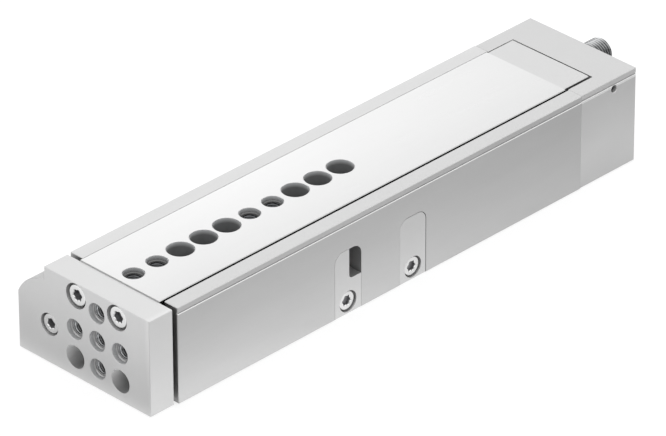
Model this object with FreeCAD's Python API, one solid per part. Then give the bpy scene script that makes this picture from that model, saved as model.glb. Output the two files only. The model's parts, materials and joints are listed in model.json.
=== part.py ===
import FreeCAD, Part
import math
import os

# Slide table with a pneumatic drive: a slide on two ball-cage guides in a long housing, pushed by a
# cylinder in the housing's lower left. +X points to the yoke (the way the slide extends), +Y to the side
# with the two inset covers, +Z up. The origin is on the bottom face, at half the housing's length, on the
# slide's centre line. All sizes are in millimetres.

Vec = FreeCAD.Vector

# Travel and lengths along X
stroke = 100.0
body_length = 180.5
cap_length = 26.0
yoke_gap = 1.6
yoke_thickness = 10.0
tail_length = 11.8
tail_joint_inset = 1.25  # the tail joint lies this far in front of the housing's rear end
tail_rear_gap = 1.0
stop_gap = 0.3  # between parts that meet at an end of the travel

# Section of the housing, the end cap and the yoke
body_half_width = 23.65
body_height = 34.5
yoke_side_inset = 0.45  # the yoke is this much narrower on each side
cap_side_inset = 0.25
yoke_bottom = 0.2
edge_chamfer = 0.2
end_chamfer = 0.2
cylinder_inset = 2.3  # cylinder axis from the block's left wall
bore_roof = 2.1  # cylinder bore to the channel's floor
bulge_radius = 15.4
bulge_side = 14.05  # cylinder axis to the flat left side
bulge_fillet = 1.5

# Groove along the upper edge of the right side
groove_drop = 1.75
groove_height = 0.6
groove_depth = 0.35
groove_lip = 0.21  # chamfer on the groove's lower edge

# Slide and its channel
side_wall = 2.05  # right side of the housing to its guide rail
slide_thickness = 10.1
slide_proud = 0.5
slide_side_gap = 0.5
slide_floor_gap = 0.5
slide_chamfer = 0.25
tail_side_inset = 0.65
cap_channel_inset = 0.4  # the end cap's recess is this much narrower than the channel, each side

# Ball-cage guide
ball_radius = 2.0
ball_count = 9
ball_pitch = 8.4
ball_clearance = 0.06
guide_gap = 0.6  # between slide and rail
guide_drop = 6.2  # ball centres below the slide's top
groove_relief = 2.35  # depth of a ball groove from the ball's centre
rail_width = 3.5
lip_thickness = 1.5
cage_thickness = 0.3
cage_height = 5.6
cage_end = 4.9
cage_hole_gap = 0.15

# Slide top holes, from the yoke to the rear: s small (thread with centring), l large (plain)
row_order = "ssLLLssLLL"
row_start = 5.9  # behind the slide's front end
row_pitch = 10.0
small_hole_radius = 3.5
small_hole_depth = 1.9
small_core_radius = 2.5
small_core_depth = 8.0
large_hole_radius = 4.5
hole_chamfer = 0.12

# Yoke holes: a cross of five centred threads, two plain holes, two slide screws, one rod screw
cross_above_middle = 0.05  # of the yoke's height
cross_pitch = 10.0
plain_hole_radius = 4.0
slide_screw_y = 9.05
slide_screw_drop = 4.7
screw_recess = 0.6

# Six-lobe socket screws: shank radius, head radius, head height, socket across tips, counterbore radius
yoke_screw_size = (2.0, 3.6, 4.0, 3.95, 4.4)
rod_screw_size = (2.0, 3.3, 4.0, 3.6, 3.9)
cap_screw_size = (1.5, 2.75, 3.0, 2.8, 3.1)
tail_screw_size = (1.5, 2.75, 3.0, 2.8, 3.1)
cover_screw_size = (2.0, 3.25, 2.2, 3.6, 3.75)
yoke_screw_length = 16.0
rod_screw_length = 18.0
cap_screw_length = 30.0
tail_screw_length = 16.0
cover_screw_length = 8.0
thread_gap = 0.03
shank_gap = 0.25
socket_depth_share = 0.6
lobe_valley = 0.72  # of the socket's outer radius
lobe_shoulder = 0.88
lobe_angle = 13.0  # half of a lobe, in degrees

# Cylinder
bore_radius = 8.0
rod_radius = 4.0
piston_gap = 0.15
seal_gap = 0.06
running_gap = 0.05
piston_rear_space = 1.25  # rear cushion to end cap, retracted
cushion_thickness = 1.5
cushion_outer = 7.2
cushion_inner = 5.2
piston_land = 1.5
seal_width = 2.2
seal_depth = 1.6
inner_land = 1.2
guide_ring_width = 2.6
guide_ring_depth = 1.0
magnet_width = 3.6
magnet_depth = 2.2
rear_land = 2.3
spigot_radius = 2.5
nut_height = 4.0
nut_flat = 8.0
nut_pocket_radius = 5.0
nut_pocket_depth = 4.6
gland_length = 12.0
gland_set_back = 2.2  # gland face behind the housing's front
gland_gap = 0.02
bush_radius = 5.0
bush_length = 7.0
rod_seal_radius = 6.0
rod_seal_length = 3.0
wiper_radius = 5.6
wiper_length = 1.2
gland_bore_gap = 0.25
o_ring_section = 0.6
o_ring_squeeze = 0.05
o_ring_place = 3.4  # behind the gland's front face
ring_thickness = 1.0
ring_groove_depth = 0.7
ring_band = 1.6
ring_ear_radius = 1.5
ring_opening = 50.0  # degrees
front_mouth_radius = 8.15
spacer_inner = 4.4
spacer_outer = 6.4
cap_ring_radius = 8.9
cap_ring_section = 0.5

# Air ports, M5, on the left side
port_core_radius = 2.5
port_depth = 6.0
port_channel_radius = 1.5
front_port_x = 70.0
cap_air_radius = 3.0
cap_air_depth = 13.0

# Stop sleeve in the end cap
sleeve_drop = 6.8  # axis below the housing's top
sleeve_radius = 4.9
sleeve_proud = 9.5
sleeve_chamfer = 0.7
sleeve_socket_flats = 5.0
sleeve_socket_depth = 5.0
buffer_radius = 3.2
buffer_depth = 8.0
grub_x_from_rear = 10.35
grub_drop = 3.84
grub_radius = 1.25
grub_length = 18.0
grub_socket = 1.3
grub_socket_depth = 1.5
grub_hole_lead = 0.25

# Side covers, counted from the housing's front
cover_starts = (67.85, 96.95)
cover_width = 11.85
cover_drop = 11.1
cover_corner = 3.6
cover_thickness = 4.0
cover_gap = 0.08
plain_cover_gap = 0.14
plain_cover_shift = 0.11  # the plain cover sits this much to the front in its pocket
cover_screw_z = 4.46
notch_width = 5.4
notch_height = 10.9
notch_corner = 1.5
notch_depth = 13.5

# Screws of the end cap: two under the recess at the right, two round the cylinder, from its axis
cap_screw_inset = 6.15
cap_screw_low = 5.5
cap_screw_below_floor = 5.8
cap_screw_offsets = ((-8.13, 8.13), (-9.35, -9.6))
tail_screw_y = 10.0
tail_screw_drop = 4.8

# Fixing threads in the bottom face, M5 with centring
base_pitch_x = 120.0
base_pitch_y = 20.0
base_offset_y = 5.0
base_core_depth = 9.0

# Places worked out from the sizes above
front_x = body_length / 2
rear_x = -body_length / 2
cap_rear_x = rear_x - cap_length
yoke_back_x = front_x + yoke_gap
yoke_front_x = yoke_back_x + yoke_thickness
slide_rear_x = rear_x + tail_joint_inset
tail_rear_x = slide_rear_x - tail_length
recess_rear_x = tail_rear_x - tail_rear_gap
slide_top = body_height + slide_proud
slide_bottom = slide_top - slide_thickness
floor_z = slide_bottom - slide_floor_gap
rail_back = body_half_width - side_wall
rail_face = rail_back - rail_width
slide_half_width = rail_face - guide_gap
channel_half = slide_half_width + slide_side_gap
yoke_half_width = body_half_width - yoke_side_inset
cap_half_width = body_half_width - cap_side_inset
cylinder_y = cylinder_inset - body_half_width
cylinder_z = floor_z - bore_roof - bore_radius
rail_top = body_height - lip_thickness
ball_z = slide_top - guide_drop
ball_y = slide_half_width + guide_gap / 2
cage_length = (ball_count - 1) * ball_pitch + 2 * cage_end
# The cage stays between the ends of slide and rail while it travels half the stroke
cage_mid_x = (slide_rear_x + front_x) / 2
screw_z = body_height - slide_screw_drop
cross_z = (yoke_bottom + body_height) / 2 + cross_above_middle
left_side_y = cylinder_y - bulge_side
sleeve_z = body_height - sleeve_drop
grub_z = body_height - grub_drop
cover_top = body_height - cover_drop
notch_bottom = cover_top - notch_height
tail_screw_z = slide_top - tail_screw_drop
cap_screw_y = body_half_width - cap_screw_inset
cap_screws = [(cap_screw_y, cap_screw_low), (cap_screw_y, floor_z - cap_screw_below_floor)]
cap_screws += [(cylinder_y + dy, cylinder_z + dz) for dy, dz in cap_screw_offsets]
gland_front_x = front_x - gland_set_back
gland_rear_x = gland_front_x - gland_length
piston_length = (2 * piston_land + 2 * seal_width + 2 * inner_land + guide_ring_width
                 + inner_land + magnet_width + rear_land)
piston_rear_x = rear_x + piston_rear_space + cushion_thickness
piston_front_x = piston_rear_x + piston_length
spacer_rear_x = piston_front_x + cushion_thickness + stroke + stop_gap
buffer_face_x = tail_rear_x - stop_gap
far = 300.0  # longer than the whole object, for cuts that run out of it


def block(x0, x1, y0, y1, z0, z1):
    return Part.makeBox(x1 - x0, y1 - y0, z1 - z0, Vec(x0, y0, z0))


def bar(axis, start, end, a, b, radius):
    """Cylinder along axis from start to end; a and b are its place on the other two axes in order."""
    place = {"x": Vec(start, a, b), "y": Vec(a, start, b), "z": Vec(a, b, start)}[axis]
    way = {"x": Vec(1, 0, 0), "y": Vec(0, 1, 0), "z": Vec(0, 0, 1)}[axis]
    return Part.makeCylinder(radius, end - start, place, way)


def cut(solid, tools):
    return solid.cut(Part.makeCompound(tools)) if tools else solid


def slab(points, axis, start, end):
    """Closed polygon in the plane across axis, carried from start to end along it."""
    if axis == "x":
        corners = [Vec(start, p[0], p[1]) for p in points]
        way = Vec(end - start, 0, 0)
    else:
        corners = [Vec(p[0], start, p[1]) for p in points]
        way = Vec(0, end - start, 0)
    return Part.Face(Part.makePolygon(corners + corners[:1])).extrude(way)


def turned(profile, y, z):
    """Closed profile of (x, radius) points turned about the line along X through y and z."""
    corners = [Vec(p[0], y, z + p[1]) for p in profile]
    face = Part.Face(Part.makePolygon(corners + corners[:1]))
    return face.revolve(Vec(0, y, z), Vec(1, 0, 0), 360)


def tube(x0, x1, y, z, inner, outer):
    return turned([(x0, inner), (x1, inner), (x1, outer), (x0, outer)], y, z)


def ring_of_round_section(x, y, z, middle, section):
    return Part.makeTorus(middle, section, Vec(x, y, z), Vec(1, 0, 0))


def placed(shape, origin, way):
    """Shape built around +X, turned so that +X points along way, and moved to origin."""
    copy = shape.copy()
    copy.Placement = FreeCAD.Placement(origin, FreeCAD.Rotation(Vec(1, 0, 0), way))
    return copy


def hexagon(flat, x0, x1):
    corner = flat / math.sqrt(3)
    points = [(corner * math.cos(math.radians(60 * i)), corner * math.sin(math.radians(60 * i)))
              for i in range(6)]
    return slab(points, "x", x0, x1)


def six_lobe(across, x0, x1):
    """Prism of a six-lobe socket: twelve arcs, six out to the tips and six in to the valleys."""
    def at(degrees, share):
        angle = math.radians(degrees)
        return Vec(x0, across / 2 * share * math.cos(angle), across / 2 * share * math.sin(angle))

    arcs = []
    for tip in range(0, 360, 60):
        start, end, following = tip - lobe_angle, tip + lobe_angle, tip + 60 - lobe_angle
        arcs.append(Part.Arc(at(start, lobe_shoulder), at(tip, 1), at(end, lobe_shoulder)).toShape())
        arcs.append(Part.Arc(at(end, lobe_shoulder), at(tip + 30, lobe_valley),
                             at(following, lobe_shoulder)).toShape())
    return Part.Face(Part.Wire(arcs)).extrude(Vec(x1 - x0, 0, 0))


def socket_screw(size, length):
    """Screw along X with its head's underside at x = 0, the head towards +X, with a six-lobe socket."""
    shank, head, height, across, _ = size
    edge = 0.08 * head
    profile = [(-length, 0), (-length, shank - edge), (-length + edge, shank), (0, shank), (0, head),
               (height - edge, head), (height, head - edge), (height, 0)]
    return turned(profile, 0, 0).cut(six_lobe(across, height * (1 - socket_depth_share), height + 1))


def screw_set(size, length, seats, way):
    return [placed(socket_screw(size, length), seat, way) for seat in seats]


def screw_hole(size, length, seat, way, opening, grip):
    """Cuts for one screw: counterbore, clearance through opening, thread from there to the screw's end."""
    shank, head, height, _, counterbore = size
    parts = [Part.makeCylinder(counterbore, height + screw_recess + far, Vec(0, 0, 0), Vec(1, 0, 0)),
             Part.makeCylinder(shank + shank_gap, opening, Vec(-opening, 0, 0), Vec(1, 0, 0))]
    thread = Part.makeCylinder(shank + thread_gap, length + grip - opening,
                               Vec(-length - grip, 0, 0), Vec(1, 0, 0))
    return [placed(p, seat, way) for p in parts], placed(thread, seat, way)


def body_outline(half_width, bottom, top, x):
    """Face of the section at x: a rectangle with the cylinder's bulge on its left."""
    centre = Vec(x, cylinder_y, cylinder_z)
    hollow_y = -half_width - bulge_fillet
    hollow_z = cylinder_z + math.sqrt((bulge_radius + bulge_fillet) ** 2 - (hollow_y - cylinder_y) ** 2)
    hollow = Vec(x, hollow_y, hollow_z)
    wall_end = Vec(x, -half_width, hollow_z)
    arc_start = centre + (hollow - centre) * (bulge_radius / (bulge_radius + bulge_fillet))
    between = (wall_end - hollow).normalize() + (arc_start - hollow).normalize()
    hollow_mid = hollow + between.normalize() * bulge_fillet
    arc_end = Vec(x, left_side_y, cylinder_z + math.sqrt(bulge_radius ** 2 - bulge_side ** 2))
    out = (arc_start - centre).normalize() + (arc_end - centre).normalize()
    arc_mid = centre + out.normalize() * bulge_radius
    c = edge_chamfer
    right = [Vec(x, left_side_y, bottom + c), Vec(x, left_side_y + c, bottom), Vec(x, half_width - c, bottom),
             Vec(x, half_width, bottom + c), Vec(x, half_width, top - c), Vec(x, half_width - c, top),
             Vec(x, -half_width + c, top), Vec(x, -half_width, top - c), wall_end]
    edges = [Part.LineSegment(a, b).toShape() for a, b in zip([arc_end] + right[:-1], right)]
    edges.append(Part.Arc(wall_end, hollow_mid, arc_start).toShape())
    edges.append(Part.Arc(arc_start, arc_mid, arc_end).toShape())
    return Part.Face(Part.Wire(edges))


def body_bar(half_width, bottom, top, x0, x1, ends):
    """The section carried from x0 to x1, with chamfers of end_chamfer round the ends named."""
    solid = body_outline(half_width, bottom, top, x0).extrude(Vec(x1 - x0, 0, 0))
    edges = [e for e in solid.Edges
             if any(abs(v.X - x) < 1e-6 for x in ends for v in [e.Vertexes[0]])
             and all(abs(v.X - e.Vertexes[0].X) < 1e-6 for v in e.Vertexes)]
    return solid.makeChamfer(end_chamfer, edges) if edges else solid


def side_groove(face, x0, x1):
    """Groove below the upper edge of the right side at y = face, its lower edge chamfered."""
    top = body_height - groove_drop
    low = top - groove_height
    points = [(face - groove_depth, low), (face - groove_lip, low), (face + 1, low - groove_lip - 1),
              (face + 1, top), (face - groove_depth, top)]
    return slab(points, "x", x0, x1)


def ball_groove(side, x0, x1, inner):
    """Right-angled groove for the balls, cut into the slide (inner) or the rail, on side +1 or -1."""
    reach = (ball_radius + ball_clearance) * math.sqrt(2)
    face = slide_half_width if inner else rail_face
    turn = -1 if inner else 1
    mouth = reach - guide_gap / 2
    floor_half = reach - groove_relief
    floor_y = ball_y + turn * groove_relief
    points = [(side * (face - turn), ball_z - mouth - 1), (side * floor_y, ball_z - floor_half),
              (side * floor_y, ball_z + floor_half), (side * (face - turn), ball_z + mouth + 1)]
    return slab(points, "x", x0, x1)


def row_holes():
    return [(yoke_back_x - row_start - i * row_pitch, kind) for i, kind in enumerate(row_order)]


def centred_thread(axis_way, face_point, depth):
    """Cuts of an M5 thread with a centring counterbore; axis_way points out of the material."""
    lip = small_hole_radius + hole_chamfer
    parts = [turned([(-depth, 0), (-depth, small_core_radius), (-small_hole_depth, small_core_radius),
                     (-small_hole_depth, small_hole_radius), (-hole_chamfer, small_hole_radius),
                     (0, lip), (1, lip), (1, 0)], 0, 0)]
    return [placed(p, face_point, axis_way) for p in parts]


def plain_hole(axis_way, face_point, radius, depth):
    lip = radius + hole_chamfer
    hole = turned([(-depth, 0), (-depth, radius), (-hole_chamfer, radius), (0, lip), (1, lip), (1, 0)], 0, 0)
    return placed(hole, face_point, axis_way)


ahead = Vec(1, 0, 0)
behind = Vec(-1, 0, 0)
right_way = Vec(0, 1, 0)
left_way = Vec(0, -1, 0)
up = Vec(0, 0, 1)
down = Vec(0, 0, -1)


# Seats of the screws
def yoke_screw_seats():
    x = yoke_front_x - screw_recess - yoke_screw_size[2]
    return [Vec(x, y, screw_z) for y in (-slide_screw_y, slide_screw_y)]


def rod_screw_seat():
    return Vec(yoke_front_x - screw_recess - rod_screw_size[2], cylinder_y, cylinder_z)


def cap_screw_seats():
    x = cap_rear_x + screw_recess + cap_screw_size[2]
    return [Vec(x, y, z) for y, z in cap_screws]


def tail_screw_seats():
    x = tail_rear_x + screw_recess + tail_screw_size[2]
    return [Vec(x, y, tail_screw_z) for y in (-tail_screw_y, tail_screw_y)]


def cover_x(start):
    return front_x - start - cover_width, front_x - start


def cover_screw_seat(start):
    x0, x1 = cover_x(start)
    return Vec((x0 + x1) / 2, body_half_width - screw_recess - cover_screw_size[2], cover_screw_z)


# Housing
def slide_channel(x0, x1, half):
    return block(x0, x1, -half, half, floor_z, far)


def rail_pockets():
    return block(rear_x - 1, front_x + 1, -rail_back, rail_back, floor_z, rail_top)


def cover_outline(start, gap, y0, y1):
    """Arch-topped plate of a side cover, from y0 to y1, smaller by gap all round."""
    x0, x1 = cover_x(start)
    x0, x1, top = x0 + gap, x1 - gap, cover_top - gap
    r = cover_corner - gap
    plate = block(x0, x1, y0, y1, 0, top)
    corners = [e for e in plate.Edges
               if abs(e.Vertexes[0].Z - top) < 1e-6 and abs(e.Vertexes[1].Z - top) < 1e-6
               and abs(e.Vertexes[0].X - e.Vertexes[1].X) < 1e-6]
    return plate.makeFillet(r, corners)


def notch_room(y0, y1):
    """Space of the notch: the rear upper corner of the first cover, with the cover's own round corner."""
    x0, x1 = cover_x(cover_starts[0])
    room = cover_outline(cover_starts[0], 0, y0, y1)
    window = block(x0 - 1, x0 + notch_width, y0, y1, notch_bottom, cover_top + 1)
    corner_x = x0 + notch_width
    inner = [e for e in window.Edges
             if all(abs(v.Z - notch_bottom) < 1e-6 and abs(v.X - corner_x) < 1e-6 for v in e.Vertexes)]
    return room.common(window.makeFillet(notch_corner, inner))


def base_points():
    return [(sx * base_pitch_x / 2, base_offset_y + sy * base_pitch_y / 2)
            for sx in (-1, 1) for sy in (-1, 1)]


def make_housing():
    solid = body_bar(body_half_width, 0, body_height, rear_x, front_x, (rear_x, front_x))
    tools = [slide_channel(rear_x - 1, front_x + 1, channel_half), rail_pockets(),
             side_groove(body_half_width, rear_x - 1, front_x + 1),
             bar("x", rear_x - 1, front_x + 1, cylinder_y, cylinder_z, bore_radius),
             bar("x", gland_front_x, front_x + 1, cylinder_y, cylinder_z, front_mouth_radius),
             bar("x", gland_front_x, gland_front_x + ring_thickness, cylinder_y, cylinder_z,
                 bore_radius + ring_groove_depth)]
    for start in cover_starts:
        tools.append(cover_outline(start, 0, body_half_width - cover_thickness, body_half_width + 1))
        seat = cover_screw_seat(start)
        length = cover_screw_length + 1
        tools.append(bar("y", seat.y - length, seat.y, seat.x, seat.z, cover_screw_size[0] + thread_gap))
    tools.append(notch_room(body_half_width - notch_depth, body_half_width))
    for seat in cap_screw_seats():
        tools.append(screw_hole(cap_screw_size, cap_screw_length, seat, behind, 0, 1)[1])
    for x, y in base_points():
        tools += centred_thread(down, Vec(x, y, 0), base_core_depth)
    port = Vec(front_port_x, left_side_y, cylinder_z)
    tools.append(plain_hole(left_way, port, port_core_radius, port_depth))
    tools.append(bar("y", left_side_y, cylinder_y, front_port_x, cylinder_z, port_channel_radius))
    return cut(solid, tools)


def make_rail(side):
    low, high = sorted((side * rail_face, side * rail_back))
    rail = block(rear_x, front_x, low, high, floor_z, rail_top)
    return rail.cut(ball_groove(side, rear_x - 1, front_x + 1, False))


# End cap and stop sleeve
def make_end_cap():
    solid = body_bar(cap_half_width, 0, body_height, cap_rear_x, rear_x, (cap_rear_x, rear_x))
    grub_x = cap_rear_x + grub_x_from_rear
    port_x = rear_x - cap_air_depth + cap_air_radius
    r = grub_radius + thread_gap
    lead = grub_hole_lead
    grub_hole = turned([(-cap_half_width, 0), (-cap_half_width, r), (-lead, r), (0, r + lead), (1, r + lead),
                        (1, 0)], 0, 0)
    tools = [slide_channel(recess_rear_x, rear_x + 1, channel_half - cap_channel_inset),
             side_groove(cap_half_width, cap_rear_x - 1, rear_x + 1),
             bar("x", cap_rear_x - 1, recess_rear_x + 1, 0, sleeve_z, sleeve_radius + thread_gap),
             placed(grub_hole, Vec(grub_x, cap_half_width, grub_z), right_way),
             bar("x", rear_x - cap_air_depth, rear_x + 1, cylinder_y, cylinder_z, cap_air_radius),
             plain_hole(left_way, Vec(port_x, left_side_y, cylinder_z), port_core_radius, port_depth),
             bar("y", left_side_y, cylinder_y, port_x, cylinder_z, port_channel_radius),
             tube(rear_x - 2 * cap_ring_section, rear_x + 1, cylinder_y, cylinder_z,
                  cap_ring_radius - cap_ring_section - o_ring_squeeze,
                  cap_ring_radius + cap_ring_section + o_ring_squeeze)]
    for seat in cap_screw_seats():
        tools += screw_hole(cap_screw_size, cap_screw_length, seat, behind, rear_x - seat.x + 1, 1)[0]
    return cut(solid, tools)


def make_stop_sleeve():
    rear = cap_rear_x - sleeve_proud
    front = recess_rear_x
    c = sleeve_chamfer
    body = turned([(rear, 0), (rear, sleeve_radius - c), (rear + c, sleeve_radius), (front, sleeve_radius),
                   (front, 0)], 0, sleeve_z)
    socket = hexagon(sleeve_socket_flats, rear - 1, rear + sleeve_socket_depth)
    socket.translate(Vec(0, 0, sleeve_z))
    seat = bar("x", front - buffer_depth, front + 1, 0, sleeve_z, buffer_radius)
    return cut(body, [socket, seat])


def make_stop_buffer():
    back = recess_rear_x - buffer_depth
    r = buffer_radius
    return turned([(back, 0), (back, r), (recess_rear_x - 0.5, r), (buffer_face_x - 0.3, r - 0.7),
                   (buffer_face_x, r - 1.2), (buffer_face_x, 0)], 0, sleeve_z)


def make_grub_screw():
    tip = math.sqrt(sleeve_radius ** 2 - (grub_z - sleeve_z) ** 2) + thread_gap
    r = grub_radius
    screw = turned([(tip, 0), (tip, r - 0.3), (tip + 0.3, r), (tip + grub_length - 0.3, r),
                    (tip + grub_length, r - 0.3), (tip + grub_length, 0)], 0, 0)
    socket = hexagon(grub_socket, tip + grub_length - grub_socket_depth, tip + grub_length + 1)
    screw = placed(screw.cut(socket), Vec(cap_rear_x + grub_x_from_rear, 0, grub_z), right_way)
    # the flat tip clears the sleeve's round side
    return screw.cut(bar("x", cap_rear_x, recess_rear_x, 0, sleeve_z, sleeve_radius + thread_gap))


# Slide
def make_slide():
    x0, x1 = slide_rear_x, yoke_back_x
    h, c = slide_half_width, slide_chamfer
    top, low = slide_top, slide_bottom
    points = [(-h + c, low), (h - c, low), (h, low + c), (h, top - c), (h - c, top), (-h + c, top),
              (-h, top - c), (-h, low + c)]
    tools = [ball_groove(side, x0 - 1, x1 + 1, True) for side in (-1, 1)]
    for x, kind in row_holes():
        if kind == "s":
            tools += centred_thread(up, Vec(x, 0, top), small_core_depth)
        else:
            tools.append(plain_hole(up, Vec(x, 0, top), large_hole_radius, slide_thickness + 1))
    for seat in yoke_screw_seats():
        tools.append(screw_hole(yoke_screw_size, yoke_screw_length, seat, ahead, 0, 1)[1])
    for seat in tail_screw_seats():
        tools.append(screw_hole(tail_screw_size, tail_screw_length, seat, behind, 0, 1)[1])
    return cut(slab(points, "x", x0, x1), tools)


def make_tail():
    h, c = slide_half_width - tail_side_inset, slide_chamfer
    top, low = slide_top, slide_bottom
    points = [(-h + c, low), (h - c, low), (h, low + c), (h, top - c), (h - c, top), (-h + c, top),
              (-h, top - c), (-h, low + c)]
    solid = slab(points, "x", tail_rear_x, slide_rear_x)
    edges = [e for e in solid.Edges if all(abs(v.X - tail_rear_x) < 1e-6 for v in e.Vertexes)]
    solid = solid.makeChamfer(end_chamfer, edges)
    tools = []
    for seat in tail_screw_seats():
        tools += screw_hole(tail_screw_size, tail_screw_length, seat, behind, slide_rear_x - seat.x + 1, 1)[0]
    return cut(solid, tools)


def make_yoke():
    solid = body_bar(yoke_half_width, yoke_bottom, body_height, yoke_back_x, yoke_front_x,
                     (yoke_back_x, yoke_front_x))
    face = yoke_front_x
    p = cross_pitch
    tools = []
    for y, z in ((0, 0), (0, p), (0, -p), (-p, 0), (p, 0)):
        tools += centred_thread(ahead, Vec(face, y, cross_z + z), yoke_thickness + 1)
    for y in (-p, p):
        tools.append(plain_hole(ahead, Vec(face, y, cross_z - p), plain_hole_radius, yoke_thickness + 1))
    for seat in yoke_screw_seats():
        tools += screw_hole(yoke_screw_size, yoke_screw_length, seat, ahead, yoke_thickness, 1)[0]
    tools += screw_hole(rod_screw_size, rod_screw_length, rod_screw_seat(), ahead, yoke_thickness, 1)[0]
    return cut(solid, tools)


# Covers
def make_cover(start, notched):
    gap = cover_gap if notched else plain_cover_gap
    plate = cover_outline(start, gap, body_half_width - cover_thickness, body_half_width)
    if not notched:
        plate.translate(Vec(plain_cover_shift, 0, 0))
    seat = cover_screw_seat(start)
    tools = screw_hole(cover_screw_size, cover_screw_length, seat, right_way, cover_thickness + 1, 1)[0]
    c = edge_chamfer
    face = body_half_width
    tools.append(slab([(face - c, -1), (face + 1, -1), (face + 1, 1 + c), (face, c), (face - c, 0)],
                      "x", *cover_x(start)))
    if notched:
        tools.append(notch_room(face - cover_thickness - 1, face + 1))
        x0 = cover_x(start)[0]
        tools.append(block(x0 - 1, x0 + 1, face - cover_thickness - 1, face + 1, notch_bottom, far))
        tools.append(block(x0 - 1, x0 + notch_width, face - cover_thickness - 1, face + 1,
                           cover_top - 1, far))
    return cut(plate, tools)


# Guides
def ball_places():
    first = cage_mid_x - (ball_count - 1) * ball_pitch / 2
    return [first + i * ball_pitch for i in range(ball_count)]


def make_cage(side):
    x0 = cage_mid_x - cage_length / 2
    low, high = side * ball_y - cage_thickness / 2, side * ball_y + cage_thickness / 2
    strip = block(x0, x0 + cage_length, low, high, ball_z - cage_height / 2, ball_z + cage_height / 2)
    holes = [bar("y", low - 1, high + 1, x, ball_z, ball_radius + cage_hole_gap) for x in ball_places()]
    return cut(strip, holes)


def make_balls(side):
    return [Part.makeSphere(ball_radius, Vec(x, side * ball_y, ball_z)) for x in ball_places()]


# Cylinder
def make_piston_rod():
    shoulder = piston_front_x
    end = piston_rear_x + nut_pocket_depth - nut_height
    c = 0.4
    profile = [(end, 0), (end, spigot_radius - c), (end + c, spigot_radius), (shoulder, spigot_radius),
               (shoulder, rod_radius), (yoke_back_x - c, rod_radius), (yoke_back_x, rod_radius - c),
               (yoke_back_x, 0)]
    rod = turned(profile, cylinder_y, cylinder_z)
    return rod.cut(screw_hole(rod_screw_size, rod_screw_length, rod_screw_seat(), ahead, 0, 1)[1])


def piston_marks():
    """X places along the piston from its front face to its rear face."""
    steps = [piston_land, seal_width, inner_land, guide_ring_width, inner_land, magnet_width, inner_land,
             seal_width, rear_land + piston_land]
    marks = [piston_front_x]
    for step in steps:
        marks.append(marks[-1] - step)
    return marks


def make_piston_front():
    m = piston_marks()
    r = bore_radius - piston_gap
    hole = spigot_radius + thread_gap
    seal_floor, guide_floor, magnet_floor = r - seal_depth, r - guide_ring_depth, r - magnet_depth
    middle = (m[5] + m[6]) / 2
    profile = [(m[0], hole), (m[0], r), (m[1], r), (m[1], seal_floor), (m[2], seal_floor), (m[2], r), (m[3], r),
               (m[3], guide_floor), (m[4], guide_floor), (m[4], r), (m[5], r), (m[5], magnet_floor),
               (middle, magnet_floor), (middle, hole)]
    return turned(profile, cylinder_y, cylinder_z)


def make_piston_rear():
    m = piston_marks()
    r = bore_radius - piston_gap
    hole = spigot_radius + thread_gap
    seal_floor, magnet_floor = r - seal_depth, r - magnet_depth
    middle = (m[5] + m[6]) / 2
    pocket_x = piston_rear_x + nut_pocket_depth
    profile = [(middle, hole), (middle, magnet_floor), (m[6], magnet_floor), (m[6], r), (m[7], r),
               (m[7], seal_floor), (m[8], seal_floor), (m[8], r), (m[9], r), (m[9], nut_pocket_radius),
               (pocket_x, nut_pocket_radius), (pocket_x, hole)]
    return turned(profile, cylinder_y, cylinder_z)


def make_piston_seals():
    """Two lip rings: a root in the groove and a thin lip that leans towards the pressure."""
    m = piston_marks()
    r = bore_radius - piston_gap
    floor = r - seal_depth
    lip = bore_radius - seal_gap
    rings = []
    for front, rear, turn in ((m[1], m[2], 1), (m[7], m[8], -1)):
        lead, back = (front, rear) if turn == 1 else (rear, front)
        step = (back - lead) / 4
        profile = [(back, floor), (lead, floor), (lead, floor + 0.5), (lead + step, floor + 0.7), (lead, lip),
                   (lead + step, lip), (back, r - 0.2)]
        rings.append(turned(profile, cylinder_y, cylinder_z))
    return rings


def make_piston_guide_ring():
    m = piston_marks()
    r = bore_radius - piston_gap
    return tube(m[4], m[3], cylinder_y, cylinder_z, r - guide_ring_depth, bore_radius - seal_gap)


def make_piston_magnet():
    m = piston_marks()
    r = bore_radius - piston_gap
    return tube(m[6], m[5], cylinder_y, cylinder_z, r - magnet_depth, r - 0.3)


def make_cushion_rings():
    t = cushion_thickness
    return [tube(piston_front_x, piston_front_x + t, cylinder_y, cylinder_z, cushion_inner, cushion_outer),
            tube(piston_rear_x - t, piston_rear_x, cylinder_y, cylinder_z, cushion_inner, cushion_outer)]


def make_piston_nut():
    x1 = piston_rear_x + nut_pocket_depth
    nut = hexagon(nut_flat, x1 - nut_height, x1)
    nut.translate(Vec(0, cylinder_y, cylinder_z))
    return nut.cut(bar("x", x1 - nut_height - 1, x1 + 1, cylinder_y, cylinder_z, spigot_radius + thread_gap))


def make_gland():
    r = bore_radius - gland_gap
    front, rear = gland_front_x, gland_rear_x
    inner = rod_radius + gland_bore_gap
    groove = r - 2 * o_ring_section - o_ring_squeeze
    ring_x = front - o_ring_place
    half = o_ring_section + o_ring_squeeze
    seal_x = front - wiper_length - rod_seal_length
    profile = [(rear, bush_radius), (rear, r), (ring_x - half, r), (ring_x - half, groove),
               (ring_x + half, groove), (ring_x + half, r), (front, r), (front, wiper_radius),
               (front - wiper_length, wiper_radius), (front - wiper_length, rod_seal_radius),
               (seal_x, rod_seal_radius), (seal_x, inner), (rear + bush_length, inner),
               (rear + bush_length, bush_radius)]
    return turned(profile, cylinder_y, cylinder_z)


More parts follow.
